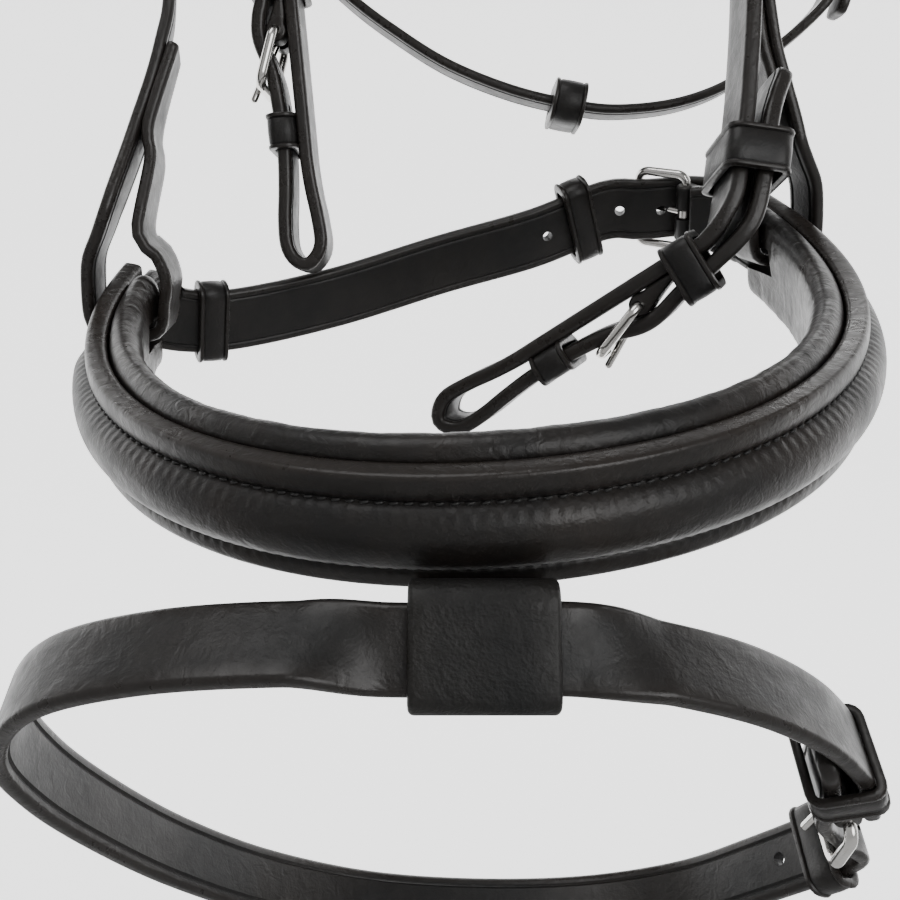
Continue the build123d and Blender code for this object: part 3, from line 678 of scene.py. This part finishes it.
# Rows of the front's section, round from its lower back edge: outward, across, and edge wear with painted
# highlight.
rows = [(0.0, -h + 1.1, 1.0), (0.15, -h + 0.55, 1.0), (0.55, -h + 0.15, 1.0), (1.2, -h, 1.0),
        (2.5, -h - 0.06, 1.0), (BAND_THICK - 1.1, -h, 1.0), (BAND_THICK - 0.45, -h + 0.12, 1.0),
        (BAND_THICK - 0.05, -h + 0.5, 0.8)]
# The flanges, beyond 9.6 mm across, get a faint painted highlight band.
rows += [(None, x, 0.35 if abs(x) > 9.6 else 0.0) for x in across]
rows += [(BAND_THICK - 0.05, h - 0.5, 0.8), (BAND_THICK - 0.45, h - 0.12, 1.0),
         (BAND_THICK - 1.1, h, 1.0), (2.5, h + 0.06, 1.0), (1.2, h, 1.0), (0.55, h - 0.15, 1.0),
         (0.15, h - 0.55, 1.0), (0.0, h - 1.1, 1.0)]
rows += [(0.0, x, 0.0) for x in np.linspace(h - 3, -h + 3, 7)]
s = spread(band.length, 0.62)
point, wide, outward = band.at(s)
rings = np.zeros((len(s), len(rows), 3))
for j, (o, x, _) in enumerate(rows):
    out = band_height(s, np.full_like(s, x)) if o is None else np.full_like(s, o)
    rings[:, j] = point + outward * out[:, None] + wide * x
points, faces = tube(rings)
front = piece("noseband_front_skin", points, faces, FRONT, "noseband", ("noseband_front", "noseband_raise"),
              np.tile([r[2] for r in rows], len(s)))

# The lining: a soft roll that stands above the front and pads its back.
roll = ring_track(BAND_START + 0.07, BAND_END - 0.075)
roll_shape = [(-0.25, -12.6), (-0.25, -6), (-0.25, 0), (-0.25, 6), (-0.3, 10.4), (-0.5, 12.3),
              (-1.1, 13.7), (-2.1, 14.8), (-3.4, 15.4), (-4.8, 15.45), (-6.1, 14.8), (-7.1, 13.6),
              (-7.8, 11.9), (-8.1, 9.8),
              (-8.15, 7), (-8.0, 3.5), (-7.9, 0), (-7.95, -3.5), (-8.0, -7), (-7.9, -9.8), (-7.3, -11.9),
              (-6.0, -13.1), (-4.4, -13.6), (-2.4, -13.6), (-1.0, -13.3)]
keys = [((o, x, 0), (0, 0, 1)) for o, x in roll_shape + roll_shape[:1]]
outline = Track(stations(keys, 0.7))
loop = outline.at(np.linspace(0, outline.length, 56)[:-1])[0][:, :2]
ahead = np.roll(loop, -1, axis=0) - np.roll(loop, 1, axis=0)
away = np.stack([ahead[:, 1], -ahead[:, 0]], -1)
away /= np.linalg.norm(away, axis=1)[:, None]
if ((loop - loop.mean(0)) * away).sum() < 0:
    away = -away
s = spread(roll.length, 0.8)
point, wide, outward = roll.at(s)
shrink = end_scale(s, roll.length, 6.0, (4.0, 4.0))
rings = np.zeros((len(s), len(loop), 3))
for i, along in enumerate(s):
    for j, ((o, x), (no, nx)) in enumerate(zip(loop, away)):
        soft = max(0.0, -o - 0.6) / 7.0
        ripple = noise.noise(Vector((along * 0.16, x * 0.07, o * 0.07))) * 0.28
        ripple += noise.noise(Vector((along * 0.62, x * 0.13, o * 0.13 + 9))) * 0.13
        o2, x2 = o + no * ripple * soft, x + nx * ripple * soft
        o2, x2 = -4.0 + (o2 + 4.0) * shrink[i], x2 * (0.6 + 0.4 * shrink[i])
        rings[i, j] = point[i] + outward[i] * o2 + wide[i] * x2
points, faces = tube(rings)
lining = piece("noseband_roll", points, faces, SOFT, "noseband", ("noseband_lining",))


def box_points(spot, u, v, w):
    return [spot.at(a * u, b * v, c * w) for a in (-1, 1) for b in (-1, 1) for c in (-1, 1)]


for a in (LEFT_SLOT, RIGHT_SLOT):
    for obj in (front, lining):
        cut(obj, box_points(ring_spot(a, up=SLOT_UP), SLOT_HIGH / 2, 25, SLOT_LONG / 2), BOX_FACES)

pace = np.arange(raise_from + 4, raise_to - 4, PITCH)
pace = np.round(pace / PITCH) * PITCH
stitches("noseband_stitching", [(band, pace + PITCH / 2, ROW_TOP, BAND_THICK - 0.18),
                                (band, pace + PITCH / 2, ROW_LOW, BAND_THICK - 0.18)], "noseband")

# ---- hangers ---------------------------------------------------------------------------
LAYER = HANGER_THICK * 1.06 + 0.15
LOOP_OUT, LOOP_IN = BAND_THICK + 1.6 + HANGER_THICK / 2, -(LINING_IN + 2.0 + HANGER_THICK / 2)
loop_uv = [(27.5, -6.2), (21.5, -10.6), (15, LOOP_IN - 1.2), (9, LOOP_IN - 0.3), (5, LOOP_IN),
           (1.6, LOOP_IN + 1.3), (0, LOOP_IN + 4.4), (0, -3), (0, LOOP_OUT - 4.4), (1.6, LOOP_OUT - 1.3),
           (5, LOOP_OUT), (13, LOOP_OUT), (20, 7.4), (27, 4.4), (33, 2.0)]


def hanger_loop(a):
    """Keys of the sewn loop in the slot at angle a, free end first."""
    spot = ring_spot(a, up=SLOT_UP)
    return [(spot.at(u, v), spot.w) for u, v in loop_uv]


def sewn_end(leg, shift):
    """The loop's free end, sewn along the inner side of the leg above it, end first."""
    (x, y, z), wide = leg[0]
    end = [((p[0] + shift, p[1], p[2]), w) for p, w in reversed(leg)]
    return end + [((x + shift * 1.06, y - 0.5, z - 9), wide)]


left_loop, right_loop = hanger_loop(LEFT_SLOT), hanger_loop(RIGHT_SLOT)
left_leg = [((-89.0, 5.5, -389), (0.10, -1, 0)), ((-83.5, 9.5, -368), (0.22, -1, 0)),
            ((-81.2, 12, -348), (0.30, -1, 0)), ((-80.5, 9, -290), (0.28, -1, 0)),
            ((-79.5, 5, -215), (0.12, -1, 0)), ((-77, 1.5, -150), (0, -1, 0))]
slip_left = sewn_end(left_leg[:2], LAYER) + left_loop + left_leg + [(p, (0, -1, 0)) for p, w in slip_arch]
hanger_set = Spot((77.5, 9.5, -262), (0.02, 0.05, -1), (1, 0, 0))
slip_tip = [(hanger_set.at(u, v), hanger_set.w) for u, v in fastened(HANGER_THICK)]
slip_right = [((77.5, 1.5, -150), (0, -1, 0)), ((81, 5, -205), (0, -1, 0))] + slip_tip
sliphead, track = strap("sliphead", slip_left + slip_right, HANGER_WIDTH, HANGER_THICK, "headgear",
                        ("sliphead",))
punch(sliphead, track, hole_places(track, hanger_set, HANGER_THICK))

right_leg = [((88, 17.5, -377), (0.05, 1, 0)), ((83.5, 16, -364), (0.1, 1, 0)),
             ((79.5, 14, -345), (0.1, 1, 0))]
right_top = [(hanger_set.at(u), hanger_set.w * -1) for u in (60, 40, 20, 1.5)]
right_hanger = sewn_end(right_leg, -LAYER) + right_loop + right_leg + right_top
strap("noseband_hanger", right_hanger, HANGER_WIDTH, HANGER_THICK, "headgear", ("noseband_hanger",),
      (2.5, 1))
buckle_leather("hanger", hanger_set, HANGER_THICK, HANGER_WIDTH, "headgear")

# ---- chin strap ------------------------------------------------------------------------
chin_way = Vector((0.965, -0.25, -0.03))
chin_set = Spot((69, 45.5, RING_Z + 22), chin_way, ring_up.cross(chin_way))
CHIN_IN = -CHIN_THICK / 2 - 0.03


def band_lap(angles):
    """Keys of a strap sewn under the noseband's end."""
    return [(p + out * CHIN_IN, wide) for p, wide, out in (ring_station(a) for a in angles)]


chin_left = band_lap((BAND_START + 0.045, BAND_START - 0.03))
chin_left += [(p, ring_up) for p in ((-89.5, 27.5, RING_Z - 9.5), (-74, 37, RING_Z - 10),
                                     (-43, 47, RING_Z - 3), (-8, 53, RING_Z + 8),
                                     (22, 55, RING_Z + 16.5))]
chin_keys = chin_left + [(chin_set.at(u, v), ring_up) for u, v in fastened(CHIN_THICK)[:-3]]
chin, track = strap("chin_strap", chin_keys, CHIN_WIDTH, CHIN_THICK, "noseband", ("chin_strap",), (1, 4))
punch(chin, track, hole_places(track, chin_set, CHIN_THICK, before=3))
tail = [(chin_set.at(u), ring_up) for u in (1.5, 9)] + [((83.5, 46, RING_Z + 19.5), ring_up)]
tail += band_lap((BAND_END + 0.03, BAND_END - 0.045))
strap("noseband_tail", tail, CHIN_WIDTH, CHIN_THICK, "noseband", ("noseband_tail",), (1, 1), step=1.2)
chape("chin_chape", chin_set, CHIN_THICK, CHIN_WIDTH, "noseband", 8.0)
strap_keeper("chin_left_keeper", chin_keys, (-79.5, 34, RING_Z - 10), 4.5, 0.5, 0.5, CHIN_WIDTH,
             CHIN_THICK, "noseband", 2.2)
strap_keeper("chin_right_keeper", chin_keys, (40, 53, RING_Z + 21), 4.5, 1.0, 1.2, CHIN_WIDTH,
             CHIN_THICK, "chin_right_keeper", 2.4)

# ---- flash strap -------------------------------------------------------------------------
FLASH_TILT = 52.0
flash_back = Vector((0, cos(radians(FLASH_TILT)), -sin(radians(FLASH_TILT))))
flash_up = Vector((0, sin(radians(FLASH_TILT)), cos(radians(FLASH_TILT))))
FLASH_FRONT = Vector((0, -98, RING_Z - 68))


def flash_point(x, d):
    return FLASH_FRONT + flash_back * d + Vector((x, 0, 0))


UPRIGHT = (0, 0.28, 0.96)
flash_set = Spot(flash_point(84, 54), Vector((-0.40, 0, 0)) - flash_back * 0.92, (-1, 0, 0))
flash_front = [((0, -2), UPRIGHT), ((17, -2), UPRIGHT), ((32, 2), flash_up), ((50, 10), flash_up),
               ((65, 21.5), flash_up)]
flash_keys = [(flash_set.at(u), flash_up) for u in (1.5, 12, 21)]
flash_keys += [(flash_point(*p), w) for p, w in reversed(flash_front)]
flash_side = [(-17, -2), (-32, -4), (-58, -1), (-79, 8), (-91, 26), (-91, 46), (-84, 68), (-72, 91),
              (-54, 112), (-28, 128), (2, 134), (32, 132), (57, 121), (73, 104)]
flash_keys += [(flash_point(*p), UPRIGHT if p[0] == -17 else flash_up) for p in flash_side]
flash_keys += [(flash_set.at(u, v), flash_up) for u, v in fastened(FLASH_THICK)[:-1]]
flash, track = strap("flash_strap", flash_keys, FLASH_WIDTH, FLASH_THICK, "flash", ("flash_strap",),
                     (1, 4), step=1.3)
punch(flash, track, hole_places(track, flash_set, FLASH_THICK, before=3, after=1))
buckle_leather("flash", flash_set, FLASH_THICK, FLASH_WIDTH, "flash", 14.0)
strap_keeper("flash_rear_keeper", flash_keys, flash_point(83, 86), 4.5, 0.5, 0.5, FLASH_WIDTH,
             FLASH_THICK, "flash", 1.8)

TAB_WIDTH, TAB_THICK = 26.0, 2.6
tab_spot = Spot(flash_point(0.5, -2), UPRIGHT, (0, -1, 0))
TAB_GAP = FLASH_THICK / 2 + 0.5 + TAB_THICK / 2
FOLD = FLASH_WIDTH / 2 + 0.4 + TAB_THICK / 2
tab_uv = [(4.6, -14), (4.6, -9), (3.4, -5.4), (0, -TAB_GAP), (-FOLD + 3, -TAB_GAP),
          (-FOLD + 0.6, -TAB_GAP + 1.0), (-FOLD, 0), (-FOLD + 0.6, TAB_GAP - 1.0), (-FOLD + 3, TAB_GAP),
          (5, TAB_GAP), (8.9, TAB_GAP - 0.1), (10.7, 1.3), (10.3, -2.5), (8.5, -7.5), (7.9, -13.2)]
strap("flash_tab", [(tab_spot.at(u, v), tab_spot.w) for u, v in tab_uv], TAB_WIDTH, TAB_THICK, "flash",
      ("flash_tab",), (1, 1), crease=3.2, step=0.8, material=ROUGH)

# ---- cheekpieces ---------------------------------------------------------------------------
BIT_LOOP = [(40, 0), (32, 0), (24, -0.5), (15, -1.6), (8, -1.8), (3.9, 0.2), (2, 3.3), (3.9, 6.5),
            (8, 8.3), (15, 8.2), (23, 7.2), (32, 6.4)]
BUCKLE_UP = 68.0
FLAT = 1.5 * CHEEK_THICK + 0.25


def cheek_keys(spot):
    """Keys from the straight stretch down round the bit loop and back past the buckle."""
    keys = [(90, 0), (84, 0), (76, 0), (68, 0), (54, 0)] + BIT_LOOP + [(40, FLAT)]
    keys += [(BUCKLE_UP + u, v) for u, v in fastened(CHEEK_THICK)[1:-3]]
    return [(spot.at(u, v), spot.w) for u, v in keys]


def crown_lap(sign, y, thick):
    x = sign * (ARCH_X - CROWN_THICK / 2 - 0.3 - thick / 2)
    return [((x, y, z), (0, -sign, 0)) for z in (LAP_TOP, -90, CROWN_END - 1)]


cheek_low = {"left": Spot((-44.4, 30, RING_Z + 4.4), (-0.08, 0, 0.997), (-1, 0, 0)),
             "right": Spot((-9.4, 18.3, RING_Z - 36.6), (0.774, -0.362, 0.52), (0.525, -0.092, -0.846))}
cheek_top = {"left": Spot((-55.5, -8, -200), (0.02, 0.12, -1), (-1, 0, 0)),
             "right": Spot((56.5, -9, -200), (0.04, 0.02, -1), (1, 0, 0))}
cheek_route = {"left": [(-52.2, 27.6, -318), (-53, 19.5, -292), (-53.8, 9, -266)],
               "right": [(64.2, -15.0, -410.5), (66.4, -12, -397), (68.4, -9, -381), (69.5, -5, -350),
                         (66, -4, -300), (61, -6, -265)]}
cheek_tip = {"left": [(-57.8, 29.9, -334), (-58.6, 27.2, -318), (-59.4, 23, -304), (-61.4, 20.5, -295)],
             "right": [(61.9, -13.9, -426.2), (68.4, -16, -416.5), (71.4, -14, -405), (73.2, -11.2, -393),
                       (75.2, -8, -386.5), (78.2, -5, -379.5)]}
tip_keeper_at = {"left": (-52.3, 26, -315), "right": (66.2, -12.4, -399)}
for name, sign in (("left", -1), ("right", 1)):
    low, top = cheek_low[name], cheek_top[name]
    body = "cheek_" + name
    wide = top.w * -1
    low_set = Spot(low.at(BUCKLE_UP), low.u, low.v)
    route = [(top.at(u), wide) for u in (1.5, 20, 42)]
    route += [(p, wide) for p in reversed(cheek_route[name])] + cheek_keys(low)
    tip_spot = spot_near(route, tip_keeper_at[name], 4.0)
    route += [(cheek_tip[name][0], low.w)] + [(p, wide) for p in cheek_tip[name][1:]]
    cheek, track = strap("cheek_strap_" + name, route, CHEEK_WIDTH, CHEEK_THICK, body,
                         ("cheek_strap_" + name,), (1, 4), step=1.5)
    punch(cheek, track, hole_places(track, low_set, CHEEK_THICK, before=1, after=2))
    buckle_leather("cheek_low_" + name, low_set, CHEEK_THICK, CHEEK_WIDTH, body, 14.0)
    fixed = CHEEK_THICK / 2 + 0.03 + KEEPER_THICK
    top_layer = FLAT + CHEEK_THICK / 2
    keeper("cheek_fixed_keeper_" + name, low, 35, 45, fixed, top_layer + FIT, CHEEK_WIDTH / 2 + FIT, body)
    keeper("cheek_tip_keeper_" + name, tip_spot, -5.5, 5.5, -CHEEK_THICK / 2 - 1.0, top_layer + 1.8,
           CHEEK_WIDTH / 2 + 1.2, body)
    buckle_leather("cheek_top_" + name, top, CHEEK_THICK, CHEEK_WIDTH, body)
    billet = crown_lap(sign, CHEEK_Y, CHEEK_THICK)
    billet += [(top.at(u, v), (0, -sign, 0)) for u, v in fastened(CHEEK_THICK)]
    billet, track = strap("crown_billet_" + name, billet, CHEEK_WIDTH, CHEEK_THICK, body,
                          ("crown_billet_" + name,), (1, 5), step=2.5)
    punch(billet, track, hole_places(track, top, CHEEK_THICK, before=3))

# ---- throatlash ------------------------------------------------------------------------------
throat_set = Spot((119.5, 46, -311), (-0.27, 0.06, -0.96), (1, 0, -0.28))
ACROSS = (0, 1, 0)
throat_low = [(110.8, 48.5, -342), (104.3, 50.5, -349.5), (93.8, 54, -358), (82.3, 57, -366),
              (66.7, 59, -371), (48, 60, -372.6), (32.7, 60, -370.8), (14.3, 60, -366.5),
              (-5.3, 60, -359), (-21.5, 60, -349.5), (-37.5, 60, -338), (-55, 58, -322),
              (-71, 54, -300), (-82, 47, -270), (-87, 39, -230), (-82, 30, -188), (-73, 22, -155),
              (-65, 14, -128)]
throat_keys = [(throat_set.at(u), ACROSS) for u in (1.5, 12, 22)] + [(p, ACROSS) for p in throat_low]
throat_keys += [(p, ACROSS) for p, w in reversed(crown_lap(-1, THROAT_Y, THROAT_THICK))]
strap("throatlash", throat_keys, THROAT_WIDTH, THROAT_THICK, "throatlash", ("throatlash",), (1, 1),
      crease=2.0, step=2.5)
tail_route = [(65, 13, -128), (74, 22, -158), (90, 31, -195), (106, 38, -235), (118, 43, -268)]
tail_route = [p for p, w in crown_lap(1, THROAT_Y, THROAT_THICK)] + tail_route
throat_tail = [(p, ACROSS) for p in tail_route]
throat_tail += [(throat_set.at(u, v), ACROSS) for u, v in fastened(THROAT_THICK)[1:]]
tail, track = strap("throatlash_tail", throat_tail, THROAT_WIDTH, THROAT_THICK, "throatlash",
                    ("throatlash_tail",), (1, 3), crease=2.0, step=2.5)
punch(tail, track, hole_places(track, throat_set, THROAT_THICK, before=3), 1.5)
buckle_leather("throat", throat_set, THROAT_THICK, THROAT_WIDTH, "throatlash", 14.0)
strap_keeper("throat_slider", throat_keys, (32.7, 60, -370.8), 5.2, 0.8, 0.8, THROAT_WIDTH, THROAT_THICK,
             "throat_slider", 4.4, 0.3, 6.0)

# ---- the metal -----------------------------------------------------------------------------
for name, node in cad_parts.items():
    if name.endswith(("_buckle", "_tongue")):
        for slot in node.material_slots:
            slot.material = STEEL

# ---- stage, light and camera ------------------------------------------------------------------
# The room is a bowl: (radius, height) of its rings in metres, from the floor up the wall.
bowl = [(0.02, -1.0), (0.5, -1.0), (1.0, -1.0), (1.6, -0.95), (2.05, -0.75), (2.3, -0.35), (2.4, 0.3),
        (2.4, 1.6)]
AROUND = 64
bowl_points = []
for r, z in bowl:
    for k in range(AROUND):
        a = 2 * pi * k / AROUND
        bowl_points.append((r * cos(a), r * sin(a), z))
bowl_faces = [list(range(AROUND))]
for i in range(len(bowl) - 1):
    for k in range(AROUND):
        a, b = i * AROUND + k, i * AROUND + (k + 1) % AROUND
        bowl_faces.append([a, b, b + AROUND, a + AROUND])
mesh = bpy.data.meshes.new("backdrop")
mesh.from_pydata(bowl_points, [], bowl_faces)
mesh.polygons.foreach_set("use_smooth", [True] * len(mesh.polygons))
backdrop = bpy.data.objects.new("backdrop", mesh)
bpy.context.scene.collection.objects.link(backdrop)
room, paper = Nodes("grey_room"), Nodes("lit_white_paper")
room.shader.inputs["Base Color"].default_value = (0.45, 0.45, 0.45, 1)
paper.shader.inputs["Base Color"].default_value = (0.85, 0.85, 0.85, 1)
paper.shader.inputs["Emission Color"].default_value = (1, 1, 1, 1)
paper.shader.inputs["Emission Strength"].default_value = 1.5
for stuff in (room, paper):
    stuff.shader.inputs["Roughness"].default_value = 0.9
    mesh.materials.append(stuff.material)
# Only the paper behind the bridle is lit; the rest of the room is grey.
for face in mesh.polygons:
    if face.center.y > 0.3 and face.center.z < 1.0:
        face.material_index = 1
backdrop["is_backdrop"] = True

world = bpy.data.worlds.new("studio")
bpy.context.scene.world = world
world.use_nodes = True
world.node_tree.nodes["Background"].inputs["Color"].default_value = (1.0, 1.0, 1.0, 1)
world.node_tree.nodes["Background"].inputs["Strength"].default_value = 0.28


def area_light(name, place, target, size, watts):
    lamp = bpy.data.lights.new(name, "AREA")
    lamp.shape = "DISK"
    lamp.size = size
    lamp.energy = watts
    obj = bpy.data.objects.new(name, lamp)
    bpy.context.scene.collection.objects.link(obj)
    obj.location = place
    obj.rotation_euler = (Vector(target) - Vector(place)).to_track_quat("-Z", "Y").to_euler()


middle = (0, 0, -0.42)
area_light("key_above", (-0.35, -0.5, 0.75), middle, 0.9, 5.5)
area_light("fill_front", (0.7, -1.3, -0.1), middle, 1.0, 9)
area_light("back_top", (0.3, 0.9, 0.6), middle, 0.9, 3)

eye = bpy.data.cameras.new("camera")
eye.lens, eye.sensor_width = 36.0, 36.0
eye.clip_start = 0.01
camera = bpy.data.objects.new("camera", eye)
bpy.context.scene.collection.objects.link(camera)
camera.location = (-0.0053, -0.2474, -0.4411)
camera.rotation_euler = (radians(82), 0, 0)
bpy.context.scene.camera = camera

low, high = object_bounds()
